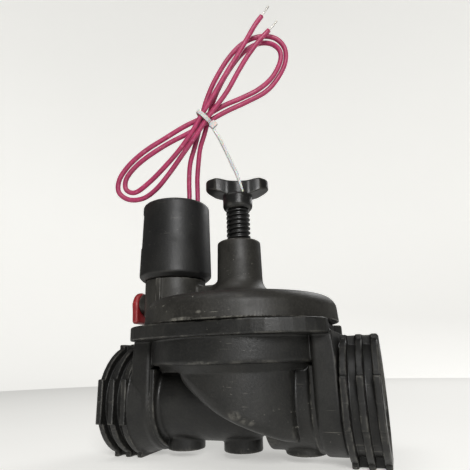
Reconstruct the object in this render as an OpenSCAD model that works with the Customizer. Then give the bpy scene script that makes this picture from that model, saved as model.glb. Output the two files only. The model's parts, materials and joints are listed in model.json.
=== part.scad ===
// Plastic diaphragm solenoid valve with flow control and manual bleed, G 1 1/2 female ports.
// Millimetres, +Z up. The ports' flat pads stand on z = 0 and the bonnet's axis is x = y = 0.
// The inlet is at +X, the outlet and the solenoid are at -X.

/* [Ports] */
// Length from port face to port face
body_length = 146.4; // [144:0.2:149]
// Distance from the port axis to each flat pad
pad_reach = 30; // [29.5:0.1:31]
// Half width of a flat pad
pad_half = 11.4; // [10:0.1:13]
// Radius of the barrel between the grip ribs
barrel_r = 26.4; // [26:0.1:27.5]
// Thickness of one grip rib
rib_t = 3.2; // [2.6:0.1:3.6]
// Pitch of the grip ribs
rib_pitch = 7.3; // [6.8:0.1:7.6]
// Radius at the crests of the G 1 1/2 internal thread
port_bore_r = 22.4; // [22.2:0.1:22.6]
// Length of the internal thread
port_depth = 28; // [24:1:28]

/* [Body] */
// Radius of the diaphragm chamber's outer wall
chamber_r = 49.3; // [49.1:0.1:49.5]
// Underside of the diaphragm chamber
chamber_z = 47.6; // [46.5:0.1:48.5]
// Underside of the square flange
flange_z = 60.3; // [60:0.1:61]
// Top face of the flange, where the bonnet sits
seam_z = 67.4; // [67.2:0.1:67.6]
// Outer radius of the inlet scoop
scoop_r = 43; // [42:0.5:43.5]
// Bore radius of the outlet tube and seat
seat_bore_r = 19; // [18:0.5:19]
// Height of the valve seat
seat_z = 58; // [57.5:0.1:58]

/* [Bonnet] */
// Outer radius of the bonnet's skirt
bonnet_r = 54.4; // [54:0.1:55]
// Top of the bonnet's rounded edge
rim_z = 81.5; // [81:0.1:82]
// Top of the flow control boss
boss_z = 117.2; // [116:0.1:118]
// Outer radius of the flow control boss
boss_r = 13; // [12.8:0.1:13.5]

/* [Flow control] */
// Outer radius of the stem's thread
thread_r = 7.25; // [7.2:0.05:7.25]
// Pitch of the stem's thread
thread_pitch = 2.8; // [2.6:0.1:3]
// Half length of the two-winged handle
wing_reach = 19.8; // [18:0.2:20.4]
// Angle of the handle about the stem
handle_angle = 22; // [0:1:90]

/* [Solenoid] */
// Distance of the solenoid from the bonnet's axis
solenoid_x = -42.5; // [-43:0.1:-42]
// Outer radius at the solenoid's foot
can_foot_r = 22.3; // [22:0.1:22.6]
// Outer radius at the solenoid's top
can_top_r = 21.2; // [21:0.1:21.6]
// Top of the solenoid
can_top_z = 146; // [145:0.5:147]
// Underside of the solenoid
can_z = 97; // [97:0.1:97.2]

/* [Bleed] */
// Height of the bleed screw's axis
bleed_z = 84.5; // [84:0.1:85]
// Thickness of the bleed lever
lever_t = 4; // [3:0.2:4.4]

/* [Leads] */
// Outer diameter of a lead
lead_d = 3.2; // [2.8:0.1:3.3]

/* [Hidden] */
$fn = 96;
e = 0.01;

port_z = pad_reach;
face_x = body_length / 2;
port_end_x = face_x - port_depth;
rib_count = 3;
ribs_end_x = face_x - (rib_count - 1) * rib_pitch - rib_t;
web_in_x = 43;
web_out_x = 54.5;
web_half = 27;
outlet_tube_r = 21.8;
inlet_tube_r = 26.3;
inlet_bore_r = 21;
bar_half = 8.5;
bar_reach = 29.6;
foot_boss_r = 10.3;
foot_boss_z = 3.7;
foot_boss_pitch = 33.4;
chamber_in_r = 44.5;
neck_r = 49;
neck_z = 74;
ledge_r = 41;
ledge_z = 65;
lug_r = 51.5;
bead_top_z = 67;
exhaust_x = -47.2;
exhaust_y = 3.2;

// Flow control heights, with the stem at its raised, fully open setting
stop_z = 85.6;
piston_r = 8.93;
thread_z = 103.5;
collar_z = 138;
handle_z = 157.5;

// Coil and plunger heights
socket_z = 86;
nozzle_z = 87.5;
plunger_z = 89.2;
plunger_lift = 2;
core_z = 121;
potting_z = 140.2;
lever_x = -64.9;

function arc(cx, cy, r, a0, a1, steps) =
    [for (i = [0:steps]) [cx + r * cos(a0 + (a1 - a0) * i / steps),
                          cy + r * sin(a0 + (a1 - a0) * i / steps)]];

// ---------------------------------------------------------------- helpers

module along_x(x0, x1, r, r2 = -1) {
    translate([min(x0, x1), 0, port_z]) rotate([0, 90, 0])
        cylinder(h = abs(x1 - x0), r1 = r, r2 = r2 < 0 ? r : r2);
}

module tube(r_out, r_in, z0, z1) {
    translate([0, 0, z0]) difference() {
        cylinder(h = z1 - z0, r = r_out);
        translate([0, 0, -1]) cylinder(h = z1 - z0 + 2, r = r_in);
    }
}

module at_solenoid() {
    translate([solenoid_x, 0, 0]) children();
}

// A round wire swept along a list of points, sides corners on each ring
function unit(v) = v / norm(v);
function heading(p, i) = unit(p[min(i + 1, len(p) - 1)] - p[max(i - 1, 0)]);
function carried(t, n) = unit(n - (n * t) * t);
function side_dirs(p, i = 0, n = [0.31, 0.92, 0.24]) =
    i >= len(p) ? [] : let (m = carried(heading(p, i), n)) concat([m], side_dirs(p, i + 1, m));

module swept_wire(p, r, sides) {
    dirs = side_dirs(p);
    rings = [for (i = [0:len(p) - 1])
        let (t = heading(p, i), m = dirs[i], b = cross(t, m))
        for (k = [0:sides - 1]) p[i] + r * (cos(360 * k / sides) * m + sin(360 * k / sides) * b)];
    last = (len(p) - 1) * sides;
    polyhedron(points = rings, faces = concat(
        [[for (k = [0:sides - 1]) k]],
        [[for (k = [sides - 1:-1:0]) last + k]],
        [for (i = [0:len(p) - 2]) for (k = [0:sides - 1])
            let (k2 = (k + 1) % sides, a = i * sides)
            [a + k, a + sides + k, a + sides + k2, a + k2]]), convexity = 8);
}

module coil_spring(r, wire_r, z0, z1, turns, steps) {
    count = turns * steps;
    swept_wire([for (i = [0:count]) [r * cos(360 * i / steps), r * sin(360 * i / steps),
                                     z0 + wire_r + (z1 - z0 - 2 * wire_r) * i / count]],
               wire_r, 8);
}

// ---------------------------------------------------------------- body

module grip_rib(x) {
    translate([x, 0, port_z]) rotate([90, 0, 90]) linear_extrude(rib_t) {
        circle(r = pad_reach);
        square([2 * pad_half, 2 * pad_reach], center = true);
        square([2 * pad_reach, 2 * pad_half], center = true);
    }
}

// Bars that join the ribs' top and bottom pads
module rib_bars(side) {
    x = side > 0 ? ribs_end_x : -face_x;
    translate([x, -bar_half, port_z - bar_reach])
        cube([face_x - ribs_end_x, 2 * bar_half, 2 * bar_reach]);
}

module web(side) {
    x = side > 0 ? web_in_x : -web_out_x;
    translate([x, 0, port_z]) rotate([0, 90, 0]) cylinder(h = web_out_x - web_in_x, r = web_half);
    translate([x, -web_half, port_z]) cube([web_out_x - web_in_x, 2 * web_half, flange_z - port_z + 1]);
}

// One quarter of the flange's outline, from the front flat round to the side recess
flange_corner = [[0, -51.5], [22, -51.5], [34, -47.5], [44, -41.5], [50, -36], [52.5, -31],
                 [52.5, -26], [49, -22.5], [48.8, 0]];

module flange_plate() {
    for (mx = [0, 1]) for (my = [0, 1]) mirror([mx, 0, 0]) mirror([0, my, 0])
        translate([0, 0, flange_z]) linear_extrude(seam_z - flange_z)
            polygon(concat([[-e, e], [-e, -51.5]], flange_corner, [[48.8, e]]));
}

// The scoop's lower edge falls from under the chamber towards the inlet
scoop_edge = [[-24, 50], [-22, 43.5], [-18.5, 38.5], [-12.5, 34], [-6.5, 30], [-1.5, 26.8],
              [3.5, 24], [8, 21.8], [12.5, 19.8], [20, 16.6], [28, 13.3], [33.5, 11.5]];

module scoop(r, lift) {
    intersection() {
        cylinder(h = 50, r = r);
        translate([0, 60, lift]) rotate([90, 0, 0]) linear_extrude(120)
            polygon(concat(scoop_edge, [[33.5 - lift, 50]]));
    }
}

module bayonet_lugs() {
    for (a = [45:90:315]) rotate([0, 0, a]) intersection() {
        tube(lug_r, neck_r - 1, 70.5, 73.5);
        translate([0, -11, 70]) cube([60, 22, 4]);
    }
}

module outlet_pipe() {
    along_x(-port_end_x, 0, outlet_tube_r);
    translate([0, 0, port_z]) sphere(r = outlet_tube_r);
    translate([0, 0, port_z]) cylinder(h = seat_z - port_z, r = outlet_tube_r);
}

module body_outside() {
    along_x(-face_x, -web_out_x, barrel_r);
    along_x(-ribs_end_x, -web_in_x, 29, 26);
    along_x(web_in_x, face_x, barrel_r);
    along_x(15, web_in_x + 1, inlet_tube_r);
    for (side = [-1, 1]) {
        web(side);
        rib_bars(side);
        for (i = [0:rib_count - 1])
            grip_rib(side > 0 ? face_x - rib_t - i * rib_pitch : -face_x + i * rib_pitch);
    }
    translate([0, 0, chamber_z]) cylinder(h = seam_z - chamber_z, r = chamber_r);
    translate([0, 0, chamber_z - 3]) cylinder(h = 3 + e, r1 = 44, r2 = 46.5);
    flange_plate();
    scoop(scoop_r, 0);
    for (i = [-1:1])
        translate([i * foot_boss_pitch, 0, foot_boss_z]) cylinder(h = 12, r = foot_boss_r);
    tube(neck_r, 30, seam_z - 1, neck_z);
    bayonet_lugs();
}

module inlet_space() {
    along_x(port_end_x, face_x + 1, port_bore_r);
    along_x(10, port_end_x + 1, inlet_bore_r);
    scoop(scoop_r - 3, 3.4);
    translate([0, 0, chamber_z + 3]) cylinder(h = 62 - chamber_z - 3, r = chamber_in_r);
    translate([0, 0, 61]) cylinder(h = 5, r = ledge_r);
    translate([0, 0, ledge_z]) cylinder(h = neck_z - ledge_z + 1, r = chamber_in_r);
}

module body_moulding() {
    color([0.16, 0.16, 0.15]) difference() {
        union() {
            difference() {
                union() {
                    body_outside();
                    outlet_pipe();
                }
                inlet_space();
            }
            outlet_pipe();
        }
        along_x(-face_x - 1, -port_end_x, port_bore_r);
        along_x(-port_end_x - 1, 0, seat_bore_r);
        translate([0, 0, port_z]) sphere(r = seat_bore_r);
        translate([0, 0, port_z]) cylinder(h = seat_z, r = seat_bore_r);
        translate([exhaust_x, exhaust_y, port_z + 15]) cylinder(h = 60, r = 1.2);
    }
}

// The moulding is handed over in five simple pieces, so that its passages stay open to touch
cut_x = 45.6;
cut_z = 60.15;
cut_low_z = 47;
reach = 100;

module block(low, high) {
    translate(low) cube(high - low);
}

module piece_of_body(low, high) {
    intersection() {
        body_moulding();
        block(low, high);
    }
}

module valve_body() {
    intersection() {
        body_moulding();
        union() {
            block([-cut_x, -reach, cut_low_z], [cut_x, reach, reach]);
            block([-reach, -reach, cut_z], [reach, reach, reach]);
        }
    }
}

module body_front() { piece_of_body([-cut_x, -reach, -reach], [cut_x, 0, cut_low_z]); }
module body_back() { piece_of_body([-cut_x, 0, -reach], [cut_x, reach, cut_low_z]); }
module inlet_end() { piece_of_body([cut_x, -reach, -reach], [reach, reach, cut_z]); }
module outlet_end() { piece_of_body([-reach, -reach, -reach], [-cut_x, reach, cut_z]); }

// ---------------------------------------------------------------- diaphragm set

module diaphragm() {
    color([0.1, 0.1, 0.1]) rotate_extrude() polygon(concat(
        [[4.1, 60.5], [31, 60.5]],
        [[34, 64.5], [36.5, 66], [39, 65]],
        [[41.2, 65], [44.4, 65], [44.4, bead_top_z], [40.5, bead_top_z]],
        [[38, 68.4], [34.5, 68.2], [31, 66.5], [30.3, 62.5], [4.1, 62.5]]));
}

module seat_disc() {
    color([0.08, 0.08, 0.08]) tube(23.5, 4.1, seat_z, 60.5);
}

module diaphragm_plate() {
    color([0.2, 0.2, 0.2]) difference() {
        rotate_extrude() polygon([[4.1, 62.5], [29.5, 62.5], [29.5, 64], [18, 64], [18, 64.6],
                                  [13, 64.6], [13, 66.5], [4.1, 66.5]]);
        translate([0, 0, 64]) cylinder(h = 5, r = 7);
        translate([25.5, 0, 60]) cylinder(h = 10, r = 1.8);
    }
}

module seat_guide() {
    color([0.2, 0.2, 0.2]) difference() {
        union() {
            translate([0, 0, 55]) cylinder(h = seat_z - 55, r = 17.5);
            for (a = [0:90:270]) rotate([0, 0, a]) translate([3, -1, 46]) cube([15.4, 2, 11]);
            translate([0, 0, 50]) cylinder(h = 6, r = 7);
        }
        translate([0, 0, 40]) cylinder(h = 20, r = 4.1);
    }
}

module plate_screw() {
    color("silver") {
        translate([0, 0, 47]) cylinder(h = 17.5, r = 4.1);
        translate([0, 0, 64]) cylinder(h = 2.4, r = 6.5, $fn = 6);
    }
}

module metering_plug() {
    color("ivory") {
        translate([25.5, 0, 62.5]) cylinder(h = 3, r = 1.8);
        translate([25.5, 0, 64]) cylinder(h = 2.2, r = 2.6);
    }
}

module main_spring() {
    color("silver") coil_spring(15.6, 0.8, 64.62, 81, 5, 20);
}

// ---------------------------------------------------------------- bonnet

module bonnet_outside() {
    rotate_extrude() polygon(concat(
        [[0, seam_z], [ledge_r, seam_z], [ledge_r, bead_top_z], [chamber_in_r - 0.1, bead_top_z],
         [chamber_in_r - 0.1, seam_z], [bonnet_r, seam_z]],
        arc(bonnet_r - 7.6, rim_z - 7, 7, 0, 84, 10),
        [[24, 85]],
        arc(boss_r + 7, 92, 7, 262, 180, 8),
        [[boss_r, boss_z - 2.5], [boss_r - 2.5, boss_z], [0, boss_z]]));
}

module solenoid_tower() {
    at_solenoid() {
        translate([0, 0, 68]) cylinder(h = can_z - 68, r = 18.4);
        translate([-2.5, -19.2, 76]) cube([3.4, 4, can_z - 76]);
    }
    translate([solenoid_x + 10, -7, 76]) cube([22, 14, 16.5]);
    translate([lever_x + 0.3, 0, bleed_z]) rotate([0, 90, 0]) cylinder(h = 8, r = 6.5);
}

module bonnet_inside() {
    rotate_extrude() polygon([[0, 60], [ledge_r, 60], [ledge_r, 75], [39.5, 77.2], [36, 78.2],
        [12.4, 81.8], [12.4, 80], [9, 80], [9, 104], [thread_r + 0.1, 104],
        [thread_r + 0.1, boss_z + 1], [0, boss_z + 1]]);
    rotate_extrude() polygon([[chamber_in_r - 0.1, 60], [neck_r + 0.3, 60], [neck_r + 0.3, 70.2],
        [lug_r + 0.3, 70.2], [lug_r + 0.3, 73.8], [neck_r + 0.3, 73.8], [neck_r + 0.3, 74.3],
        [chamber_in_r - 0.1, 74.3]]);
    for (a = [0:90:270]) rotate([0, 0, a]) intersection() {
        tube(lug_r + 0.3, neck_r - 1, 60, 72);
        translate([0, -12, 60]) cube([60, 24, 14]);
    }
}

// Turning the bleed screw joins the chamber above the diaphragm to the outlet side
module bleed_passages() {
    translate([lever_x - 1, 0, bleed_z]) rotate([0, 90, 0]) cylinder(h = 12.3, r = 3.06);
    translate([-54.6, 2.2, bleed_z]) rotate([0, 90, 0]) cylinder(h = 7, r = 0.9);
    translate([-57, 0, 76.2]) rotate([0, 90, 0]) cylinder(h = 18, r = 0.9);
    translate([-57, 0, 76.2]) cylinder(h = 6, r = 0.9);
}

module bonnet() {
    color([0.3, 0.29, 0.27]) difference() {
        union() {
            bonnet_outside();
            solenoid_tower();
        }
        bonnet_inside();
        at_solenoid() {
            translate([0, 0, nozzle_z]) cylinder(h = 20, r = 9.6);
            translate([0, 0, 94.8]) cylinder(h = 3, r = 12.3);
            tube(9.6, 2.5, socket_z, nozzle_z + e);
            translate([0, 0, 76.2]) cylinder(h = 20, r = 0.9);
        }
        translate([exhaust_x, exhaust_y, 70]) cylinder(h = 20, r = 1.2);
        bleed_passages();
    }
}

// ---------------------------------------------------------------- flow control

module flow_stop() {
    color([0.2, 0.2, 0.2]) translate([0, 0, stop_z]) cylinder(h = 3.4, r = 8.6);
}

module flow_stem() {
    crest = thread_r;
    root = thread_r - 1.5;
    turns = floor((collar_z - thread_z) / thread_pitch);
    color([0.12, 0.12, 0.12]) rotate_extrude() polygon(concat(
        [[0, stop_z + 3.4], [6, stop_z + 3.4], [6, 94], [piston_r, 94], [piston_r, 96.2],
         [7.2, 96.2], [7.2, 98.4], [piston_r, 98.4], [piston_r, 102.5], [root, 102.5]],
        [for (i = [0:turns - 1]) for (q = [[root, 0.3], [crest, 1.1], [crest, 1.7], [root, 2.5]])
            [q[0], thread_z + i * thread_pitch + q[1]]],
        [[root, collar_z + 1], [4.2, collar_z + 1], [4.2, 150], [0, 150]]));
}

module wing_outline() {
    circle(r = 8.4);
    for (side = [-1, 1]) {
        translate([side * (wing_reach - 6.4), 0]) circle(r = 6.4);
        translate([side * (wing_reach - 12.6) - 6.5, -6]) square([13, 12]);
    }
}

module flow_handle() {
    color([0.1, 0.1, 0.1]) difference() {
        union() {
            intersection() {
                rotate([0, 0, handle_angle]) translate([0, 0, collar_z])
                    linear_extrude(handle_z - collar_z) wing_outline();
                rotate([0, 0, handle_angle]) translate([0, 20, 0]) rotate([90, 0, 0])
                    linear_extrude(40) polygon([[-21, 150], [-9, 145], [9, 145], [21, 150],
                        [21, handle_z], [10, handle_z - 0.8], [0, handle_z - 2.2],
                        [-10, handle_z - 0.8], [-21, handle_z]]);
            }
            translate([0, 0, collar_z]) cylinder(h = 2, r1 = 7.6, r2 = 9.2);
            translate([0, 0, collar_z + 2]) cylinder(h = 6, r = 9.2);
        }
        translate([0, 0, collar_z - e]) cylinder(h = 1 + e, r = thread_r - 1.4);
        translate([0, 0, collar_z]) cylinder(h = 12, r = 4.2);
    }
}

module stem_o_rings() {
    color([0.05, 0.05, 0.05]) rotate_extrude() translate([8.1, 97.3]) circle(r = 0.88);
}

// ---------------------------------------------------------------- solenoid

module label_recess() {
    intersection() {
        tube(30, can_top_r - 0.9, 117.6, 143.4);
        translate([0, 0, 110]) linear_extrude(40) polygon([[0, 0], [-30, 27.5], [-30, -27.5]]);
    }
}

module solenoid_housing() {
    color([0.14, 0.14, 0.14]) at_solenoid() difference() {
        union() {
            rotate_extrude() polygon([[0, can_z], [19.2, can_z], [can_foot_r, can_z + 2.8],
                [can_top_r, can_top_z - 1.4], [can_top_r - 0.5, can_top_z - 0.4],
                [can_top_r - 1.5, can_top_z], [0, can_top_z]]);
            translate([0, 0, plunger_z + 0.8]) cylinder(h = 8, r = 9.5);
        }
        translate([0, 0, 100.4]) cylinder(h = 50, r = 19.2);
        translate([0, 0, 80]) cylinder(h = 50, r = 6.4);
        label_recess();
    }
}

module solenoid_o_ring() {
    color([0.05, 0.05, 0.05]) at_solenoid() rotate_extrude()
        translate([10.9, 95.9]) circle(r = 1.05);
}

module coil_bobbin() {
    color("ivory") at_solenoid() {
        tube(7.6, 6.4, 102.2, 136.2);
        tube(17, 6.4, 102.2, 103.6);
        tube(17, 6.4, 134.8, 136.2);
    }
}

module coil_winding() {
    color([0.72, 0.4, 0.2]) at_solenoid() tube(16.4, 7.6, 103.6, 134.8);
}

module coil_yoke() {
    color("silver") at_solenoid() {
        tube(18.7, 17.2, 100.6, 137.8);
        tube(18.7, 6.4, 100.6, 102.1);
        tube(18.7, 6.4, 136.3, 137.8);
    }
}

module guide_tube() {
    color("silver") at_solenoid() tube(6.3, 5.1, plunger_z + 0.8, 138.5);
}

module fixed_core() {
    color("silver") at_solenoid() {
        translate([0, 0, core_z]) cylinder(h = 17.5, r = 5.08);
        translate([0, 0, 138.5]) cylinder(h = 1.5, r = 7.5);
    }
}

module plunger() {
    color("silver") at_solenoid() difference() {
        translate([0, 0, plunger_z]) cylinder(h = core_z - plunger_lift - 0.3 - plunger_z, r = 5.02);
        translate([0, 0, 110]) cylinder(h = 20, r = 3.2);
    }
}

module plunger_spring() {
    color("silver") at_solenoid() coil_spring(2.4, 0.3, 110.02, core_z - 0.02, 6, 14);
}

module plunger_seal() {
    color([0.08, 0.08, 0.08]) at_solenoid() translate([0, 0, nozzle_z + 0.02])
        cylinder(h = plunger_z - nozzle_z - 0.02, r = 3.4);
}

module coil_potting() {
    color([0.1, 0.1, 0.1]) at_solenoid()
        translate([0, 0, potting_z]) cylinder(h = lead_exit[2] - potting_z, r = 19.2);
}

// ---------------------------------------------------------------- bleed

module bleed_screw() {
    color([0.15, 0.15, 0.15]) translate([0, 0, bleed_z]) rotate([0, 90, 0]) {
        translate([0, 0, -61]) cylinder(h = 6.5, r = 3);
        translate([0, 0, -62.6]) cylinder(h = 2, r = 2.1);
        translate([0, 0, lever_x]) cylinder(h = 2.4, r = 3);
        translate([0, 0, lever_x - lever_t]) cylinder(h = lever_t + e, r = 2.2);
    }
}

module bleed_o_ring() {
    color([0.05, 0.05, 0.05]) translate([-61.8, 0, bleed_z]) rotate([0, 90, 0])
        rotate_extrude() translate([2.55, 0]) circle(r = 0.44);
}

module bleed_lever() {
    color([0.75, 0.1, 0.12]) translate([lever_x - lever_t, 0, bleed_z]) rotate([90, 0, 90])
        difference() {
            union() {
                cylinder(h = lever_t, r = 7.5);
                linear_extrude(lever_t) polygon([[-7.4, 1], [7.4, 1], [7.5, -0.5], [6.8, -11.2],
                    [5.8, -12.2], [-5.8, -12.2], [-6.8, -11.2], [-7.5, -0.5]]);
            }
            translate([0, 0, -1]) cylinder(h = lever_t + 2, r = 2.2);
        }
}

// ---------------------------------------------------------------- leads

// The tied leads stand in one leaning plane: u to the right, v up it, w through it to the back
lead_exit = [-34.5, 4.7, 145];
plane_turn = 20;
plane_lean = 17;
plane_u = [cos(plane_turn), sin(plane_turn), 0];
plane_v = [sin(plane_turn) * sin(plane_lean), -cos(plane_turn) * sin(plane_lean), cos(plane_lean)];
plane_w = [-sin(plane_turn) * cos(plane_lean), cos(plane_turn) * cos(plane_lean), sin(plane_lean)];
function placed(q) = lead_exit + q[0] * plane_u + q[1] * plane_v + q[2] * plane_w;

// Route of each lead in that plane, from the solenoid through the tie three times to its end
route_a = [
    [-1, 0, 0], [-1, 10, 3], [-1, 21, 4], [0, 32, 4.5], [3, 42, 4.5], [6, 52, 4], [8.5, 62.5, 4],
    [12, 74, 4], [18, 87, 4], [27, 101, 4], [37, 111, 4], [48, 115.5, 4], [58.5, 114, 3],
    [65, 107.5, 3], [65.5, 98, 3], [60.5, 87.5, 2], [52, 78, 1.5], [39, 71, 0.5], [25.5, 65, 0],
    [13, 58.5, 0], [0.5, 51.5, 0], [-13, 45, 0], [-26, 37, -1], [-35.5, 29.5, -1.5],
    [-41.5, 21.5, -2.5], [-41.5, 14.5, -3], [-35.5, 12.5, -3.5], [-26.5, 18.5, -4], [-16, 28.5, -4],
    [-6, 39.5, -4], [2.5, 51, -4], [9, 62, -4], [15.5, 72, -4], [22, 82.5, -4], [28, 92, -4],
    [34, 101, -4], [39.5, 110, -4], [45, 119, -4], [49.8, 125.2, -4]];
route_b = [
    [4.5, 0, 0], [4.5, 10, 3], [4.5, 21, 4], [5.5, 32, 4.5], [7, 42, 4.5], [10, 51, 4],
    [12.5, 59.5, 4], [16, 71.5, 4], [22, 84.5, 4], [30.5, 97.5, 4], [39, 106.5, 4], [48.5, 111, 4],
    [56.5, 109.5, 2], [61.5, 104, 0], [61.5, 96.5, -0.5], [56, 86.5, -0.5], [47, 79, 0],
    [35.5, 73.5, 0], [23, 68.5, 0], [10, 61.5, 0], [-3, 55.5, 0], [-16, 48, 0], [-29, 40, -0.5],
    [-39.5, 31, -1], [-46, 21.5, -2], [-46.5, 13, -2.5], [-40, 8, -3], [-30.5, 8.5, -3.5],
    [-21.5, 14.5, -4], [-12.5, 25, -4], [-4, 36.5, -4], [4.5, 48, -4], [12.5, 59.5, -4],
    [19, 67.5, -4], [26.5, 77.5, -4], [33, 88.5, -4], [40, 99.5, -4], [47.5, 109, -4],
    [54.3, 115.9, -4]];
tip_a = [[49.8, 125.2, -4], [52.2, 128.3, -4], [54.4, 131.6, -4]];
tip_b = [[54.3, 115.9, -4], [57.2, 118.8, -4], [59.8, 122, -4]];

module lead(route) {
    color([0.7, 0.16, 0.34]) swept_wire([for (q = route) placed(q)], lead_d / 2, 8);
}

module lead_a() { lead(route_a); }
module lead_b() { lead(route_b); }

module bare_tip(route) {
    color([0.7, 0.7, 0.68]) swept_wire([for (q = route) placed(q)], 0.6, 8);
}

module bare_tip_a() { bare_tip(tip_a); }
module bare_tip_b() { bare_tip(tip_b); }

// The tie's loop lies across the leads, its tail springs out over the handle
tie_centre = [10.6, 60.7, 0];
tie_turn = -44;
tie_w = 2.6;
tail = [[17, 54, -5], [20.5, 45, -10], [25.5, 32, -24], [28, 25, -30.5], [30.5, 18.5, -36.5],
        [33.5, 7.5, -44]];

module cable_tie() {
    color([0.9, 0.9, 0.88]) {
        translate(placed(tie_centre)) multmatrix([
            [plane_u[0], plane_w[0], plane_v[0], 0],
            [plane_u[1], plane_w[1], plane_v[1], 0],
            [plane_u[2], plane_w[2], plane_v[2], 0]])
            rotate([0, -tie_turn, 0]) {
                translate([0, 0, -tie_w / 2]) linear_extrude(tie_w) difference() {
                    square([13.2, 14.4], center = true);
                    square([11.2, 12.4], center = true);
                }
                translate([6.4, -7.2, -2.6]) cube([3.6, 4.4, 5.2]);
            }
        swept_wire([for (q = tail) placed(q)], 1, 6);
    }
}

valve_body();
body_front();
body_back();
inlet_end();
outlet_end();
bonnet();
diaphragm();
seat_disc();
diaphragm_plate();
seat_guide();
plate_screw();
metering_plug();
main_spring();
flow_stop();
flow_stem();
flow_handle();
stem_o_rings();
solenoid_housing();
solenoid_o_ring();
coil_bobbin();
coil_winding();
coil_yoke();
guide_tube();
fixed_core();
plunger();
plunger_spring();
plunger_seal();
coil_potting();
bleed_screw();
bleed_o_ring();
bleed_lever();
lead_a();
lead_b();
bare_tip_a();
bare_tip_b();
cable_tie();
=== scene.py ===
"""Looks of a plastic diaphragm solenoid valve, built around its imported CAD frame."""

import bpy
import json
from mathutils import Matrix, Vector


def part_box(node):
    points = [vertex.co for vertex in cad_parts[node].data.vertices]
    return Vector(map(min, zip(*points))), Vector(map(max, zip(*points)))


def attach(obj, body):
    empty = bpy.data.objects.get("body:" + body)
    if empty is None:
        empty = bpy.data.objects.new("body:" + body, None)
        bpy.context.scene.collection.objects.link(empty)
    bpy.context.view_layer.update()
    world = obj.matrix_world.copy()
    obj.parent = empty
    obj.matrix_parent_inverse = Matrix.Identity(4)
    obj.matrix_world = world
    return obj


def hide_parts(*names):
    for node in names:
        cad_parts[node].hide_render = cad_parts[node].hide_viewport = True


bl_info = {
    "name": "Solenoid Valve",
    "version": (1, 0, 0),
    "blender": (4, 5, 0),
    "location": "View3D > Sidebar > Valve",
    "description": "Builds a moulded solenoid valve with its leads, handle and bleed lever",
    "category": "Add Mesh",
}

import json
import math

import bpy
import numpy as np
from bpy.props import FloatProperty, FloatVectorProperty, PointerProperty
from mathutils import Matrix, Vector

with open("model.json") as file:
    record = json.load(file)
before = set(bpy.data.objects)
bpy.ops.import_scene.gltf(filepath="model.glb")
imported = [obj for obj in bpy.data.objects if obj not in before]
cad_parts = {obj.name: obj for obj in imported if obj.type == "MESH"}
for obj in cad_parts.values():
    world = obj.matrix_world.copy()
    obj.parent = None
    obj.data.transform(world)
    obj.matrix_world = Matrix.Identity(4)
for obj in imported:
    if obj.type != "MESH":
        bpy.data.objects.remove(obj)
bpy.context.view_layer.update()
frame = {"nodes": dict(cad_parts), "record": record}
MM = 0.001


def node_box(node):
    """Lowest and highest corner of a CAD node, in millimetres."""
    low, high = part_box(node)
    return np.array(low) / MM, np.array(high) / MM


def mount_place(name):
    """Where a mount of the record is, in millimetres."""
    found = [m for m in frame["record"]["mounts"] if m["name"] == name]
    return np.array(found[0]["pos_m"]) / MM


# The one body moulding is five nodes in the frame
BODY_NODES = ("valve_body", "body_front", "body_back", "inlet_end", "outlet_end")

# Heights and radii in millimetres, +X towards the inlet, the bonnet's axis at x = y = 0
FACE_X, _, PORT_Z = mount_place("inlet_port")
SOLENOID_LOW, SOLENOID_HIGH = node_box("solenoid_housing")
SOLENOID_X = (SOLENOID_LOW[0] + SOLENOID_HIGH[0]) / 2
_, (_, BONNET_R, BOSS_Z) = node_box("bonnet")
HANDLE_LOW, HANDLE_HIGH = node_box("flow_handle")
STEM_FOOT_Z = node_box("flow_stem")[0][2]
LEVER_LOW, LEVER_HIGH = node_box("bleed_lever")

BARREL_R = 26.4
THREAD_ROOT_R = 23.9
THREAD_CREST_R = 22.45
THREAD_PITCH = 2.309
THREAD_LENGTH = 28.0
RIB_T = 3.2
RIB_PITCH = 7.3
PAD_REACH = 30.0
PAD_HALF = 11.4
BAR_HALF = 8.5
BAR_REACH = 29.6
OUTLET_R = 21.8
OUTLET_BORE_R = 19.0
INLET_R = 24.7
PORT_BORE_R = 21
WEB_IN_X = 43.0
WEB_OUT_X = 54.5
WEB_HALF = 27.0
CHAMBER_R = 49.3
CHAMBER_Z = 47.6
CHAMBER_IN_R = 44.5
CHAMBER_FLOOR_Z = 50.6
WALL_TOP_Z = 62
SEAT_Z = 58.0
FLANGE_Z = 60.3
SEAM_Z = 67.4
SCOOP_R = 43.0
SCOOP_END_X = 33.7
FOOT_BOSS_R = 10.3
FOOT_Z = 3.7
BOSS_R = 13.2
DOME_Z = 81.5
DOME_SLOPE = 0.161
DOME_INSIDE_Z = 76
TOWER_R = 18.4
BRIDGE_Z = 92.3
CAN_Z = 97.0
BLEED_Z = 84.5
BLEED_BOSS_R = 6.5
BLEED_BORE_R = 3.06
STEM_PITCH = 2.8
COLLAR_Z = HANDLE_LOW[2]


# ---------------- solids as distance fields


def fillet_join(a, b, r):
    """Both solids as one, with a hollow fillet of radius r where they meet."""
    return np.maximum(r, np.minimum(a, b)) - np.hypot(np.maximum(r - a, 0), np.maximum(r - b, 0))


def round_cut(a, b, r):
    """What the two solids share, with the edge between their faces rounded to r."""
    return np.minimum(-r, np.maximum(a, b)) + np.hypot(np.maximum(r + a, 0), np.maximum(r + b, 0))


def take_away(a, b, r):
    """The first solid less the second, with the rim rounded to r."""
    return round_cut(a, -b, r)


def span(p, low, high):
    """Distance outside the stretch from low to high."""
    return np.maximum(low - p, p - high)


def rectangle(p, q, half_p, half_q, r=0.0):
    """A rectangle about the origin with corners rounded to r."""
    u = np.abs(p) - half_p + r
    v = np.abs(q) - half_q + r
    return np.hypot(np.maximum(u, 0), np.maximum(v, 0)) + np.minimum(np.maximum(u, v), 0) - r


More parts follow.
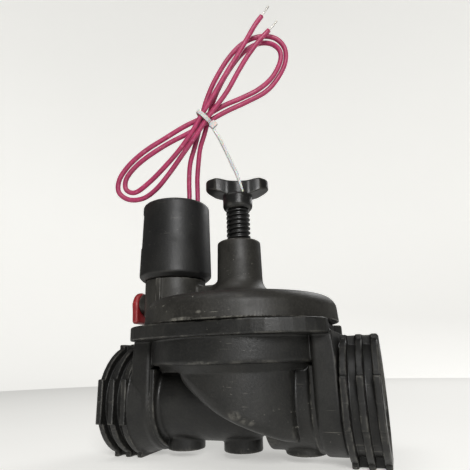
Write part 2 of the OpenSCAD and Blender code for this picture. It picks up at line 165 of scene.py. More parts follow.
def outline(p, q, corners):
    """A closed polygon."""
    nearest = np.full(p.shape, 1e9)
    inside = np.zeros(p.shape, bool)
    for (ax, ay), (bx, by) in zip(corners, corners[1:] + corners[:1]):
        ex, ey = bx - ax, by - ay
        wx, wy = p - ax, q - ay
        t = np.clip((wx * ex + wy * ey) / (ex * ex + ey * ey), 0, 1)
        nearest = np.minimum(nearest, (wx - ex * t) ** 2 + (wy - ey * t) ** 2)
        crosses = (ay > q) != (by > q)
        inside ^= crosses & ((ex * wy - wx * ey > 0) == (by > ay))
    return np.where(inside, -1, 1) * np.sqrt(nearest)


def in_chunks(field, points, size=300000):
    """The field at many points, a chunk at a time to save memory."""
    parts = [points[i:i + size] for i in range(0, len(points), size)]
    return np.concatenate([field(p[:, 0], p[:, 1], p[:, 2]) for p in parts])


FOUR_WAYS = np.array([[1, -1, -1], [-1, -1, 1], [-1, 1, -1], [1, 1, 1]], float)
SIX_WAYS = np.array([[1, 0, 0], [-1, 0, 0], [0, 1, 0], [0, -1, 0], [0, 0, 1], [0, 0, -1]], float)


def depth_and_slope(field, points, reach):
    """The field's value and gradient at each point."""
    values = [in_chunks(field, points + reach * way) for way in FOUR_WAYS]
    slope = sum(v[:, None] * way for v, way in zip(values, FOUR_WAYS)) / (4 * reach)
    return sum(values) / 4, slope


def settle(field, points, reach, rounds):
    """Moves points onto the field's surface."""
    for _ in range(rounds):
        depth, slope = depth_and_slope(field, points, reach)
        step = depth / np.maximum((slope ** 2).sum(axis=1), 0.05)
        points = points - np.clip(step, -2 * reach, 2 * reach)[:, None] * slope
    return points


def sampled(field, low, pitch, counts, block):
    """The field on a grid, worked out only near its surface."""
    blocks = counts // block
    axes = [low[i] + (np.arange(blocks[i]) * block + (block - 1) / 2) * pitch for i in range(3)]
    centres = np.stack(np.meshgrid(*axes, indexing="ij"), -1).reshape(-1, 3)
    coarse = in_chunks(field, centres).reshape(blocks)
    near = np.abs(coarse) < block * pitch * 1.15
    grid = np.where(coarse < 0, -1.0, 1.0).astype(np.float32)
    for axis in range(3):
        grid = np.repeat(grid, block, axis)
        near = np.repeat(near, block, axis)
    places = np.argwhere(near)
    grid[near] = in_chunks(field, low + places * pitch)
    return grid


def skin_of(grid):
    """Points and four-sided faces of the surface where the grid's values change sign."""
    inside = grid < 0
    strides = np.array([grid.shape[1] * grid.shape[2], grid.shape[2], 1])
    sums = np.zeros((4, grid.size))
    faces = []
    for axis in range(3):
        u, v = (axis + 1) % 3, (axis + 2) % 3
        lower = [slice(None)] * 3
        upper = [slice(None)] * 3
        lower[axis] = slice(0, -1)
        upper[axis] = slice(1, None)
        at = np.argwhere(inside[tuple(lower)] != inside[tuple(upper)])
        flat = at @ strides
        a = grid.reshape(-1)[flat].astype(float)
        b = grid.reshape(-1)[flat + strides[axis]].astype(float)
        crossing = at.astype(float)
        crossing[:, axis] += a / (a - b)
        ring = [flat, flat - strides[u], flat - strides[u] - strides[v], flat - strides[v]]
        for cell in ring:
            sums[3] += np.bincount(cell, minlength=grid.size)
            for i in range(3):
                sums[i] += np.bincount(cell, weights=crossing[:, i], minlength=grid.size)
        quads = np.stack(ring, 1)
        quads[a > 0] = quads[a > 0][:, ::-1]
        faces.append(quads)
    cells, corners = np.unique(np.concatenate(faces), return_inverse=True)
    return (sums[:3, cells] / sums[3, cells]).T, corners.reshape(-1, 4)


def thinned(mesh, share):
    """A copy of the mesh with that share of its faces."""
    stand = bpy.data.objects.new("thinning", mesh)
    bpy.context.scene.collection.objects.link(stand)
    modifier = stand.modifiers.new("thin", "DECIMATE")
    modifier.ratio = share
    bpy.context.view_layer.update()
    made = bpy.data.meshes.new_from_object(stand.evaluated_get(bpy.context.evaluated_depsgraph_get()))
    bpy.data.objects.remove(stand)
    return made


def mould(name, field, low, high, pitch, share):
    """A closed, smoothly shaded piece where the field is below zero. Sizes are in millimetres."""
    block = 8
    pitch *= 1.0
    start = np.array(low, float) - 2.3 * pitch
    counts = np.ceil((np.array(high) + 2.3 * pitch - start) / pitch / block).astype(int) * block
    points, faces = skin_of(sampled(field, start, pitch, counts, block))
    points = settle(field, start + points * pitch, 0.2 * pitch, 3)
    mesh = bpy.data.meshes.new(name)
    mesh.from_pydata((points * MM).tolist(), [], faces.tolist())
    mesh = thinned(mesh, share)
    flat = np.empty(len(mesh.vertices) * 3, np.float32)
    mesh.vertices.foreach_get("co", flat)
    points = settle(field, flat.reshape(-1, 3).astype(float) / MM, 0.2 * pitch, 2)
    mesh.vertices.foreach_set("co", (points * MM).astype(np.float32).reshape(-1))
    mesh.update()
    finish_skin(mesh, field, points, pitch)
    return placed_piece(name, mesh)


def finish_skin(mesh, field, points, pitch):
    """True normals from the field, and how sharply each point's surroundings bend."""
    mesh.polygons.foreach_set("use_smooth", np.ones(len(mesh.polygons), bool))
    slope = depth_and_slope(field, points, 0.15 * pitch)[1]
    length = np.maximum(np.linalg.norm(slope, axis=1), 1e-6)
    mesh.normals_split_custom_set_from_vertices((slope / length[:, None]).tolist())
    reach = 0.8
    around = sum(in_chunks(field, points + reach * way) for way in SIX_WAYS)
    bend = (around - 6 * in_chunks(field, points)) / reach ** 2
    mesh.attributes.new("edge", "FLOAT", "POINT").data.foreach_set(
        "value", np.clip(bend, -1, 1).astype(np.float32))


def placed_piece(name, mesh):
    piece = bpy.data.objects.new(name, mesh)
    bpy.context.scene.collection.objects.link(piece)
    return piece


def piece_from(name, points, faces, smooth=True):
    """A piece from points in millimetres."""
    mesh = bpy.data.meshes.new(name)
    mesh.from_pydata((np.asarray(points) * MM).tolist(), [], [list(map(int, f)) for f in faces])
    mesh.polygons.foreach_set("use_smooth", np.full(len(mesh.polygons), smooth))
    return placed_piece(name, mesh)


# ---------------- swept and turned pieces


def wrapped_grid(rings, around, closed_ends=True):
    """Faces of a tube whose points come ring by ring."""
    faces = []
    for i in range(rings - 1):
        for k in range(around):
            k2 = (k + 1) % around
            faces.append((i * around + k, i * around + k2, (i + 1) * around + k2, (i + 1) * around + k))
    if closed_ends:
        faces.append(tuple(range(around))[::-1])
        faces.append(tuple((rings - 1) * around + k for k in range(around)))
    return faces


def smooth_route(points, steps):
    """A curve through every point, with that many steps between neighbours."""
    p = np.array(points, float)
    p = np.vstack([2 * p[0] - p[1], p, 2 * p[-1] - p[-2]])
    out = []
    for i in range(1, len(p) - 2):
        for t in np.arange(steps) / steps:
            out.append(0.5 * (2 * p[i] + (p[i + 1] - p[i - 1]) * t
                              + (2 * p[i - 1] - 5 * p[i] + 4 * p[i + 1] - p[i + 2]) * t ** 2
                              + (3 * p[i] - p[i - 1] - 3 * p[i + 1] + p[i + 2]) * t ** 3))
    out.append(p[-2])
    return np.array(out)


def carried_frames(route, first):
    """Tangent and two side directions at each point, carried along without twist."""
    tangent = np.gradient(route, axis=0)
    tangent /= np.linalg.norm(tangent, axis=1)[:, None]
    side = np.zeros_like(route)
    last = np.array(first, float)
    for i, t in enumerate(tangent):
        last = last - (last @ t) * t
        last /= np.linalg.norm(last)
        side[i] = last
    return tangent, side, np.cross(tangent, side)


def swept(route, section, first=(0.31, 0.92, 0.24)):
    """Points of a closed section carried along a route. section(i) gives its (side, up) pairs."""
    _, side, up = carried_frames(route, first)
    rings = []
    for i, centre in enumerate(route):
        pairs = np.asarray(section(i))
        rings.append(centre + pairs[:, :1] * side[i] + pairs[:, 1:] * up[i])
    return np.concatenate(rings)


def circle_pairs(r, around):
    angle = np.arange(around) * 2 * math.pi / around
    return np.stack([r * np.cos(angle), r * np.sin(angle)], 1)


# ---------------- finishes


class Finish:
    """Builds one node material, with the wiring kept short."""

    def __init__(self, name):
        self.material = bpy.data.materials.new(name)
        self.material.use_nodes = True
        self.tree = self.material.node_tree
        self.shader = self.tree.nodes["Principled BSDF"]
        self.place = self.node("ShaderNodeTexCoord").outputs["Object"]

    def node(self, kind, **settings):
        made = self.tree.nodes.new(kind)
        for key, value in settings.items():
            setattr(made, key, value)
        return made

    def put(self, value, socket):
        """Wires an output to a socket, or sets the socket's own value."""
        if isinstance(value, bpy.types.NodeSocket):
            self.tree.links.new(value, socket)
        else:
            socket.default_value = value

    def stretched(self, scale, turn=(0, 0, 0)):
        mapping = self.node("ShaderNodeMapping")
        self.put(self.place, mapping.inputs["Vector"])
        mapping.inputs["Scale"].default_value = scale
        mapping.inputs["Rotation"].default_value = turn
        return mapping.outputs["Vector"]

    def distance(self, place, reach):
        """How far a point is from a place, as a share of the reach along each axis, both in mm."""
        mapping = self.node("ShaderNodeMapping", vector_type="TEXTURE")
        self.put(self.place, mapping.inputs["Vector"])
        mapping.inputs["Location"].default_value = [p * MM for p in place]
        mapping.inputs["Scale"].default_value = [r * MM for r in reach]
        length = self.node("ShaderNodeVectorMath", operation="LENGTH")
        self.put(mapping.outputs["Vector"], length.inputs[0])
        return length.outputs["Value"]

    def noise(self, scale, detail=3.0, rough=0.55, where=None, warp=0.0):
        made = self.node("ShaderNodeTexNoise")
        self.put(where or self.place, made.inputs["Vector"])
        for key, number in (("Scale", scale), ("Detail", detail), ("Roughness", rough),
                            ("Distortion", warp)):
            made.inputs[key].default_value = number
        return made.outputs["Fac"]

    def ramp(self, value, low, high, out_low=0.0, out_high=1.0):
        made = self.node("ShaderNodeMapRange", interpolation_type="SMOOTHSTEP")
        self.put(value, made.inputs["Value"])
        for key, number in zip(("From Min", "From Max", "To Min", "To Max"),
                               (low, high, out_low, out_high)):
            made.inputs[key].default_value = number
        return made.outputs["Result"]

    def maths(self, operation, a, b):
        made = self.node("ShaderNodeMath", operation=operation)
        self.put(a, made.inputs[0])
        self.put(b, made.inputs[1])
        return made.outputs[0]

    def blend(self, share, a, b):
        made = self.node("ShaderNodeMix", data_type="RGBA")
        self.put(share, made.inputs["Factor"])
        self.put(a, made.inputs[6])
        self.put(b, made.inputs[7])
        return made.outputs[2]

    def edge(self):
        return self.node("ShaderNodeAttribute", attribute_name="edge").outputs["Fac"]

    def bump(self, *layers):
        """Stacks (height, strength, distance) layers into the shader's normal."""
        normal = None
        for height, strength, distance in layers:
            made = self.node("ShaderNodeBump")
            made.inputs["Strength"].default_value = strength
            made.inputs["Distance"].default_value = distance
            self.put(height, made.inputs["Height"])
            if normal is not None:
                self.put(normal, made.inputs["Normal"])
            normal = made.outputs["Normal"]
        self.put(normal, self.shader.inputs["Normal"])

    def set(self, **values):
        for key, value in values.items():
            self.put(value, self.shader.inputs[key.replace("_", " ")])
        return self


def rgba(colour, gain=1.0):
    return tuple(min(1.0, c * gain) for c in colour[:3]) + (1.0,)


def moulded_finish(name, colour, dust, dust_share, roughness, scuffs, rubs=()):
    """Filled plastic: spark-eroded grain, cloudy dust, rubbed edges and spots, pale scratches."""
    f = Finish(name)
    clouds = f.ramp(f.noise(38.0, 5.0, 0.6, warp=0.4), 0.38, 0.7, 0.0, dust_share)
    grain = f.noise(900.0, 3.0, 0.6)
    speckle = f.ramp(grain, 0.42, 0.72, 0.0, 0.4 * dust_share + 0.03)
    long_a = f.noise(1.0, 2.0, 0.5, f.stretched((35, 420, 900), (0.2, 0.5, 0.35)))
    long_b = f.noise(1.0, 2.0, 0.5, f.stretched((500, 45, 700), (0.6, 0.1, -0.5)))
    patches = f.ramp(f.noise(24.0, 2.0), 0.5, 0.66)
    strokes = f.maths("ADD", f.ramp(long_a, 0.68, 0.74), f.ramp(long_b, 0.70, 0.76))
    scratches = f.maths("MULTIPLY", strokes, f.maths("MULTIPLY", patches, scuffs))
    torn = f.ramp(f.noise(160.0, 4.0, 0.65), 0.42, 0.66)
    rubbed = f.maths("MULTIPLY", torn, 0.1 + 0.35 * scuffs)
    marks = f.maths("MULTIPLY", f.ramp(f.edge(), 0.22, 0.9), rubbed)
    marks = f.maths("ADD", marks, scratches)
    for place, reach in rubs:
        spot = f.ramp(f.distance(place, reach), 0.35, 1.0, 0.55, 0.0)
        marks = f.maths("ADD", marks, f.maths("MULTIPLY", spot, torn))
    base = f.blend(clouds, rgba(colour), rgba(dust))
    base = f.blend(speckle, base, rgba(dust, 1.15))
    base = f.blend(f.maths("MINIMUM", marks, 0.8), base, rgba(dust, 4.0))
    shine = f.ramp(f.noise(70.0, 4.0), 0.3, 0.75, roughness - 0.07, roughness + 0.1)
    f.bump((grain, 0.3, 0.0003),
           (f.noise(110.0, 3.0), 0.05, 0.0012),
           (f.maths("SUBTRACT", 1.0, scratches), 0.12, 0.0002))
    return f.set(Base_Color=base, Roughness=shine, Specular_IOR_Level=0.36).material


def lever_finish(colour):
    f = Finish("red_lever")
    clouds = f.ramp(f.noise(260.0, 4.0), 0.35, 0.75)
    worn = f.ramp(f.edge(), 0.45, 1.0, 0.0, 0.12)
    base = f.blend(clouds, rgba(colour, 0.88), rgba(colour, 1.12))
    base = f.blend(worn, base, rgba((0.75, 0.30, 0.27)))
    f.bump((f.noise(1400.0, 2.0), 0.1, 0.0002))
    return f.set(Base_Color=base, Roughness=f.ramp(f.noise(90.0), 0.3, 0.7, 0.36, 0.5)).material


def sheath_finish(colour):
    """Soft extruded lead sheath with faint draw lines and handling marks."""
    f = Finish("lead_sheath")
    tone = f.ramp(f.noise(120.0, 3.0), 0.3, 0.72)
    smudge = f.ramp(f.noise(420.0, 4.0, 0.6), 0.55, 0.75, 0.0, 0.22)
    base = f.blend(tone, rgba(colour, 0.86), rgba(colour, 1.1))
    base = f.blend(smudge, base, rgba((0.80, 0.36, 0.50)))
    f.bump((f.noise(600.0, 3.0), 0.08, 0.0002))
    f.set(Base_Color=base, Roughness=f.ramp(f.noise(200.0), 0.3, 0.7, 0.38, 0.52))
    f.set(Subsurface_Weight=0.12, Subsurface_Scale=0.0012, Sheen_Weight=0.12)
    return f.material


def nylon_finish(colour):
    f = Finish("natural_nylon")
    milk = f.ramp(f.noise(300.0, 3.0), 0.3, 0.7)
    base = f.blend(milk, rgba(colour, 0.94), rgba(colour, 1.04))
    f.bump((f.noise(800.0, 2.0), 0.06, 0.0002))
    f.set(Base_Color=base, Roughness=f.ramp(f.noise(220.0), 0.3, 0.7, 0.28, 0.42))
    f.set(Subsurface_Weight=0.5, Subsurface_Scale=0.002, Transmission_Weight=0.25)
    return f.material


def metal_finish(name, colour, roughness, brush_scale):
    """Bright wire or turned steel with brush marks round the axis."""
    f = Finish(name)
    lines = f.noise(1.0, 3.0, 0.6, f.stretched(brush_scale))
    base = f.blend(f.ramp(lines, 0.3, 0.7), rgba(colour, 0.85), rgba(colour, 1.08))
    f.bump((lines, 0.08, 0.0001))
    shine = f.ramp(lines, 0.25, 0.75, roughness - 0.06, roughness + 0.1)
    return f.set(Base_Color=base, Roughness=shine, Metallic=1.0).material


def rubber_finish():
    f = Finish("moulded_rubber")
    bloom = f.ramp(f.noise(150.0, 4.0, 0.6), 0.45, 0.75, 0.0, 0.4)
    base = f.blend(bloom, rgba((0.018, 0.018, 0.018)), rgba((0.06, 0.06, 0.058)))
    f.bump((f.noise(1800.0, 2.0), 0.15, 0.0002))
    return f.set(Base_Color=base, Roughness=f.ramp(bloom, 0.0, 0.4, 0.55, 0.75)).material


def resin_finish():
    """Poured resin, glossy with shallow waves and trapped dust."""
    f = Finish("poured_resin")
    dust = f.ramp(f.noise(900.0, 3.0), 0.6, 0.72, 0.0, 0.3)
    base = f.blend(dust, rgba((0.012, 0.012, 0.013)), rgba((0.09, 0.085, 0.08)))
    f.bump((f.noise(130.0, 2.0), 0.25, 0.0008))
    return f.set(Base_Color=base, Roughness=f.ramp(f.noise(90.0), 0.3, 0.7, 0.16, 0.3)).material


def stage_finish(name, colour, glow):
    """Pale card that glows a little, as a lit table does."""
    f = Finish(name)
    tone = f.ramp(f.noise(9.0, 3.0), 0.3, 0.7)
    base = f.blend(tone, rgba(colour, 0.985), rgba(colour, 1.0))
    f.bump((f.noise(900.0, 2.0), 0.02, 0.0002))
    f.set(Base_Color=base, Roughness=0.75, Specular_IOR_Level=0.25)
    return f.set(Emission_Color=rgba(colour), Emission_Strength=glow).material


def dress(piece, material):
    """One finish on the whole piece."""
    piece.data.materials.clear()
    piece.data.materials.append(material)


# ---------------- valve body


FLANGE_CORNERS = [(-60, 0), (-60, 51.5), (0, 51.5), (8, 51.5), (16, 51.3), (22, 50.7), (28, 49.4),
                  (34, 47.2), (39.5, 44.4), (44.5, 41.1), (48.5, 37.4), (51, 34.2), (52.3, 31.6),
                  (52.5, 29), (52.5, 26), (49, 22.5), (48.6, 0)]
SCOOP_X = (-24.0, -22.0, -18.5, -12.5, -6.5, -1.5, 3.5, 8.0, 12.5, 20.0, 28.0, 33.5)
SCOOP_EDGE_Z = (50.0, 43.5, 38.5, 34.0, 30.0, 26.8, 24.0, 21.8, 19.8, 16.6, 13.3, 11.5)
FOOT_BOSS_X = (-34.1, -0.8, 32.7)
# Rubbed spots: the place and the reach along each axis
BODY_RUBS = [((-4, -49, 48), (9, 5, 1.6)), ((9.5, -41, 25.5), (4, 5, 2.6)),
             ((15, -40, 22.5), (4.5, 5, 2))]
BONNET_RUBS = [((-12, -52.8, 68.6), (9, 5, 0.9)), ((-2, -53, 71), (2, 4, 1)),
               ((14, -49, 77.5), (6, 4, 1)), ((42, -24, 79), (4, 5, 0.8)),
               ((-36, -38, 78), (5, 5, 1.2))]


def scoop_solid(x, z, rho, r, lift):
    """The bulge that brings the inlet's water up round the seat."""
    low = np.interp(x, SCOOP_X, SCOOP_EDGE_Z) + lift
    wall = round_cut(rho - r, (low - z) * 0.78, 5.5)
    return round_cut(np.maximum(wall, z - 50), x - (SCOOP_END_X - lift), 1.3)


def grip_ribs(side, y, z, pipe):
    """Three ribs with four flat pads each, mirrored to both ports."""
    back = FACE_X - RIB_T / 2 - side
    nearest = np.clip(np.round(back / RIB_PITCH), 0, 2) * RIB_PITCH
    along = np.abs(back - nearest) - RIB_T / 2
    up = z - PORT_Z
    shape = np.minimum(rectangle(y, up, PAD_HALF, PAD_REACH, 0.4),
                       rectangle(y, up, PAD_REACH, PAD_HALF, 0.4))
    bars = np.maximum(rectangle(y, up, BAR_HALF, BAR_REACH, 0.4), span(back, 0, 2 * RIB_PITCH))
    ribs = round_cut(np.minimum(pipe - PAD_REACH + 0.1, shape), along, 0.4)
    parting = np.maximum(pipe - PAD_REACH - 0.12, np.maximum(np.abs(up) - 0.1, along))
    return np.minimum(fillet_join(ribs, bars, 0.3), parting)


def body_outside(x, y, z):
    side = np.abs(x)
    rho = np.hypot(x, y)
    pipe = np.hypot(y, z - PORT_Z)
    saddle = np.where(z > PORT_Z, np.abs(y), pipe)

    tubes = np.maximum(pipe - OUTLET_R, span(x, -46, 0))
    tubes = np.minimum(tubes, np.hypot(rho, z - PORT_Z) - OUTLET_R)
    tubes = fillet_join(tubes, np.maximum(pipe - INLET_R, span(x, 17, 46)), 2.5)

    outer_face = side - (WEB_OUT_X - 0.1 * np.clip(z - 50, 0, 20))
    webs = round_cut(round_cut(saddle - WEB_HALF, WEB_IN_X - side, 2.6), outer_face, 1.0)
    webs = np.maximum(webs, z - WALL_TOP_Z)
    step = round_cut(saddle - WEB_HALF + 1.5, np.maximum(span(side, 41.2, 44), z - 46), 0.6)
    webs = np.minimum(webs, step)
    solid = fillet_join(tubes, webs, 1.8)

    flare = pipe - (26.0 + 3.0 * np.clip((-x - WEB_IN_X) / 12.5, 0, 1))
    flare = round_cut(flare, span(x, -55.6, -WEB_IN_X), 0.5)
    barrel = np.maximum(pipe - BARREL_R, span(side, 45, FACE_X))
    barrel = fillet_join(barrel, grip_ribs(side, y, z, pipe), 0.5)
    solid = fillet_join(np.minimum(solid, flare), barrel, 0.6)

    chamber = np.maximum(round_cut(rho - CHAMBER_R, CHAMBER_Z - z, 1.7), z - WALL_TOP_Z)
    under = np.maximum(rho - 46.4 + 0.9 * (CHAMBER_Z - z), span(z, 44.4, 49)) * 0.8
    scoop = scoop_solid(x, z, rho, SCOOP_R, 0)
    solid = fillet_join(solid, np.minimum(chamber, under), 1.0)
    solid = fillet_join(solid, scoop, 0.9)

    for boss_x in FOOT_BOSS_X:
        boss = np.hypot(x - boss_x, y) - FOOT_BOSS_R
        boss = np.maximum(round_cut(boss, FOOT_Z - z, 0.7), z - 15)
        solid = fillet_join(solid, boss, 0.8)

    flange = outline(side, np.abs(y), FLANGE_CORNERS)
    flange = round_cut(flange, span(z, FLANGE_Z, SEAM_Z), 0.7)
    return fillet_join(solid, flange, 0.8)


def valve_field(x, y, z):
    side = np.abs(x)
    rho = np.hypot(x, y)
    pipe = np.hypot(y, z - PORT_Z)
    thread_end = FACE_X - THREAD_LENGTH
    mouth = pipe - THREAD_ROOT_R - np.clip(side - FACE_X + 0.9, 0, 2)

    inlet = np.minimum.reduce([
        np.maximum(mouth, thread_end - x),
        np.maximum(pipe - PORT_BORE_R, span(x, 10, thread_end + 1)),
        scoop_solid(x, z, rho, SCOOP_R - 3, 3.4),
        np.maximum(rho - CHAMBER_IN_R, span(z, CHAMBER_FLOOR_Z, WALL_TOP_Z)),
        np.maximum(rho - 41, span(z, 61, 66)),
        np.maximum(rho - CHAMBER_IN_R, 65 - z)])
    neck = round_cut(rho - 49, span(z, SEAM_Z - 1, 74), 0.4)
    solid = take_away(np.minimum(body_outside(x, y, z), neck), inlet, 0.3)

    riser = np.maximum(rho - OUTLET_R, span(z, PORT_Z, SEAT_Z))
    elbow = np.hypot(rho, z - PORT_Z)
    pipe_wall = np.maximum(pipe - OUTLET_R, span(x, -thread_end - 2, 0))
    solid = np.minimum.reduce([solid, riser, elbow - OUTLET_R, pipe_wall])
    outlet = np.minimum.reduce([
        np.maximum(mouth, x + thread_end),
        np.maximum(pipe - OUTLET_BORE_R, span(x, -thread_end - 1, 0)),
        elbow - OUTLET_BORE_R,
        np.maximum(rho - OUTLET_BORE_R, PORT_Z - z)])
    return take_away(solid, outlet, 0.3)


def port_thread(name, direction):
    """The internal pipe thread as one helical ridge on the port's wall."""
    per_turn = 72
    turns = (THREAD_LENGTH - 2.5) / THREAD_PITCH
    count = int(turns * per_turn)
    depth = THREAD_ROOT_R - THREAD_CREST_R
    profile = [(0.25, -0.98), (-0.45 * depth, -0.5), (-0.95 * depth, -0.16), (-depth, 0.0),
               (-0.95 * depth, 0.16), (-0.45 * depth, 0.5), (0.25, 0.98)]
    points = []
    for i in range(count + 1):
        angle = 2 * math.pi * i / per_turn
        fade = min(1.0, i / 40, (count - i) / 40) * 0.96 + 0.04
        centre = FACE_X - 1.6 - THREAD_PITCH * i / per_turn
        for out, along in profile:
            r = THREAD_ROOT_R + (out if out > 0 else out * fade)
            points.append((direction * (centre + along * fade), direction * r * math.cos(angle),
                           PORT_Z + r * math.sin(angle)))
    return piece_from(name, points, wrapped_grid(count + 1, len(profile)))


# ---------------- bonnet


BONNET_INSIDE = [(-5, 60), (41, 60), (41, 75), (39.5, 77.2), (36, 78.2), (12.4, 81.8), (12.4, 80),
                 (9, 80), (9, 104), (7.35, 104), (7.35, 130), (-5, 130)]


def bonnet_field(x, y, z):
    rho = np.hypot(x, y)
    tower_r = np.hypot(x - SOLENOID_X, y)
    seam = SEAM_Z + 0.25
    skirt = rho - BONNET_R + 0.085 * (z - SEAM_Z)
    top = (z - DOME_Z - DOME_SLOPE * (46.9 - rho)) * 0.987
    dome = round_cut(round_cut(skirt, top, 5.2), seam - z, 0.4)
    boss = round_cut(rho - BOSS_R + 0.018 * (z - 100), z - BOSS_Z, 1.3)
    solid = fillet_join(dome, np.maximum(boss, DOME_INSIDE_Z - z), 7)

    tower = np.maximum(round_cut(tower_r - TOWER_R, z - CAN_Z + 0.1, 0.5), DOME_INSIDE_Z - z)
    rib = rectangle(x - SOLENOID_X + 1.2, y + 18.0, 1.7, 1.6, 0.5)
    tower = fillet_join(tower, np.maximum(rib, span(z, DOME_INSIDE_Z, CAN_Z - 0.4)), 0.7)
    bridge = round_cut(rectangle(x + 21, y, 12, 6.5), z - BRIDGE_Z, 1.6)
    bridge = np.maximum(bridge, DOME_INSIDE_Z - z)
    solid = fillet_join(fillet_join(solid, bridge, 3.0), tower, 1.4)
    off_bleed = np.hypot(y, z - BLEED_Z)
    bleed = round_cut(off_bleed - BLEED_BOSS_R, span(x, LEVER_HIGH[0] + 0.3, -50), 0.6)
    solid = fillet_join(solid, bleed, 0.9)

    space = np.minimum.reduce([
        outline(rho, z, BONNET_INSIDE),
        np.maximum(tower_r - 9.6, 86 - z),
        np.maximum(tower_r - 12.3, 94.8 - z),
        np.maximum(span(rho, 44.4, 49.3), span(z, 60, 74.3)),
        np.maximum(off_bleed - BLEED_BORE_R, span(x, -70, -53.6))])
    return take_away(solid, space, 0.25)


# ---------------- solenoid


CAN_OUTSIDE = [(-5, 99.1), (18.9, 99.1), (20.15, 100.4), (19.15, 143.95), (-5, 143.95)]
CAN_SPIGOT = [(-5, 90), (9.5, 90), (9.5, 99), (-5, 99)]
CAN_ROUND = 2.05
CAN_FLOOR_Z = 100.4
CAN_BORE_R = 18.72
CAN_TUBE_R = 6.4
RECESS_R = 20.2
RECESS_HALF = math.radians(43)


def can_field(x, y, z):
    xs = x - SOLENOID_X
    r = np.hypot(xs, y)
    solid = outline(r, z, CAN_OUTSIDE) - CAN_ROUND
    wedge = np.abs(y) * math.cos(RECESS_HALF) + xs * math.sin(RECESS_HALF)
    recess = np.maximum(np.maximum(RECESS_R - r, wedge), span(z, 117.5, 140.5))
    solid = take_away(solid, recess, 0.35)
    solid = np.minimum(solid, outline(r, z, CAN_SPIGOT))
    inside = np.minimum(np.maximum(r - CAN_BORE_R, CAN_FLOOR_Z - z), r - CAN_TUBE_R)
    return take_away(solid, inside, 0.3)


# ---------------- flow control


HANDLE_TURN = math.radians(22)
LOBE_X = 13.2
LOBE_R = 6.4
HUB_R = 7.2
WING_UNDER_Z = 147.0
STEM_TOP_Z = 150


def handle_field(x, y, z):
    u = x * math.cos(HANDLE_TURN) + y * math.sin(HANDLE_TURN)
    v = -x * math.sin(HANDLE_TURN) + y * math.cos(HANDLE_TURN)
    lobes = np.hypot(np.abs(u) - LOBE_X, v) - LOBE_R
    plan = fillet_join(lobes, rectangle(u, v, 13, 6.2), 4.0)
    plan = fillet_join(plan, np.hypot(u, v) - HUB_R, 3.0)
    top = HANDLE_HIGH[2] - 2.2 * np.exp(-(u / 8.5) ** 2)
    under = (WING_UNDER_Z + 0.34 * np.maximum(np.abs(u) - 7.5, 0) - z) * 0.94
    wings = round_cut(round_cut(plan, z - top, 1.2), under, 0.9)
    r = np.hypot(x, y)
    collar = round_cut(r - 9.1, z - 146.8, 0.8)
    collar = round_cut(collar, (r - 7.7 - 0.8 * (z - COLLAR_Z)) * 0.78, 0.7)
    collar = round_cut(collar, COLLAR_Z + 0.05 - z, 0.2)
    solid = fillet_join(wings, collar, 1.3)
    bore = np.maximum(r - 4.2, z - STEM_TOP_Z)
    return take_away(solid, np.minimum(bore, np.maximum(r - 5.85, z - COLLAR_Z - 1)), 0.1)


STEM_LATHE = [(0.0, 0.0), (5.4, 0.0), (6.0, 0.5), (6.0, 4.6), (6.4, 5.0), (8.6, 5.0), (8.93, 5.4),
              (8.93, 7.0), (8.7, 7.2), (7.2, 7.2), (7.2, 9.4), (8.7, 9.4), (8.93, 9.6), (8.93, 13.1),
              (8.5, 13.5), (6.2, 13.6)]


def flow_stem():
    """The stem: piston with its ring groove, then a true helical thread up to the collar."""
    around = 72
    angles = np.arange(around) * 2 * math.pi / around
    rings = [(np.full(around, max(r, 0.02)), STEM_FOOT_Z + z) for r, z in STEM_LATHE]
    start, stop = STEM_FOOT_Z + 14.2, COLLAR_Z + 0.9
    for z in np.arange(start, stop, STEM_PITCH / 18):
        phase = 2 * math.pi * (z / STEM_PITCH) - angles
        fade = min(1.0, (z - start) / 2, (stop - z) / 1.5)
        tooth = np.clip(0.5 + 0.78 * np.cos(phase), 0, 1)
        rings.append((5.75 + 1.48 * fade * tooth, z))
    shank = ((5.7, stop), (4.15, stop), (4.15, STEM_TOP_Z - 0.2), (0.02, STEM_TOP_Z))
    rings += [(np.full(around, r), z) for r, z in shank]
    points = [(r * math.cos(a), r * math.sin(a), z) for radii, z in rings for r, a in zip(radii, angles)]
    return piece_from("flow_stem_thread", points, wrapped_grid(len(rings), around))


# ---------------- bleed lever


def lever_field(x, y, z):
    up = z - BLEED_Z
    plate = outline(y, up, [(-7.4, 1), (7.4, 1), (7.45, -0.5), (6.9, -11.0), (5.7, -12.1), (-5.7, -12.1),
                            (-6.9, -11.0), (-7.45, -0.5)])
    plate = fillet_join(np.hypot(y, up) - 7.45, plate, 0.5)
    middle = (LEVER_LOW[0] + LEVER_HIGH[0]) / 2
    half = (LEVER_HIGH[0] - LEVER_LOW[0]) / 2 - 0.02
    solid = round_cut(plate, np.abs(x - middle) - half, 1.5)
    slot = np.maximum(rectangle(y, up, 4.2, 0.7, 0.2), x - LEVER_LOW[0] - 0.9)
    return take_away(solid, np.minimum(slot, np.hypot(y, up) - 2.22), 0.2)


# ---------------- leads and tie


